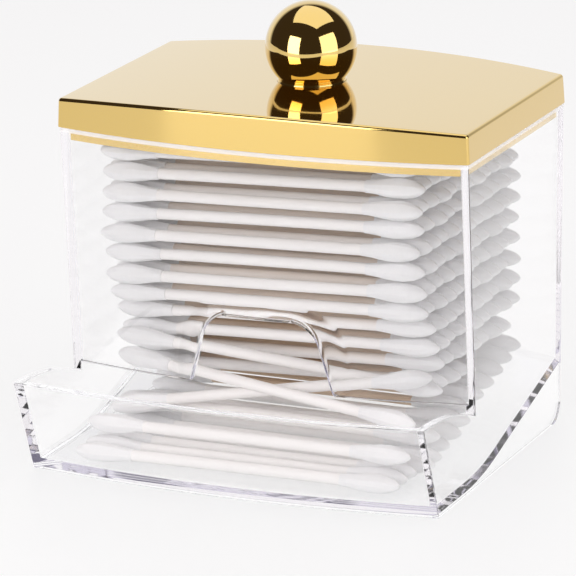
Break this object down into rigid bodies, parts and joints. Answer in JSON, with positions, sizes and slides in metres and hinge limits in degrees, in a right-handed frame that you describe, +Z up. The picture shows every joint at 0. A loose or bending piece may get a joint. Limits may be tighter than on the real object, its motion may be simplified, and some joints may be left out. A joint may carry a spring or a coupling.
{
  "type": "cotton swab holder",
  "caption": "Clear box of cotton swabs with a sloping floor, a dispensing tray and a finger notch, under a lift-off gold lid with a ball knob.",
  "frame": {"origin": "centre of the footprint, on the surface that the box stands on", "axes": "+X along the swabs, +Y away from the tray, +Z up"},
  "size_m": [0.0968, 0.0918, 0.0981],
  "materials": {
    "clear_plastic": "polished",
    "gold_plating": "polished",
    "screw_steel": "satin",
    "paper_stick": "matte",
    "cotton": "matte"
  },
  "bodies": {
    "holder": {"clear_body": "clear_plastic", "stick_row_1": "paper_stick", "stick_row_2": "paper_stick", "stick_row_3": "paper_stick", "stick_row_4": "paper_stick", "stick_row_5": "paper_stick", "stick_row_6": "paper_stick", "stick_row_7": "paper_stick", "stick_row_8": "paper_stick", "stick_row_9": "paper_stick", "stick_row_10": "paper_stick", "stick_row_11": "paper_stick", "slope_sticks": "paper_stick", "tray_sticks": "paper_stick", "loose_sticks": "paper_stick", "tip_row_1": "cotton", "tip_row_2": "cotton", "tip_row_3": "cotton", "tip_row_4": "cotton", "tip_row_5": "cotton", "tip_row_6": "cotton", "tip_row_7": "cotton", "tip_row_8": "cotton", "tip_row_9": "cotton", "tip_row_10": "cotton", "tip_row_11": "cotton", "slope_tips": "cotton", "tray_tips": "cotton", "loose_tips": "cotton"},
    "lid": {"lid": "gold_plating", "knob": "gold_plating", "knob_screw": "screw_steel"}
  },
  "joints": [
    {"name": "lid_lift", "type": "slide", "parent": "holder", "child": "lid", "axis": [0, 0, 1], "range_m": [0, 0.06]}
  ]
}
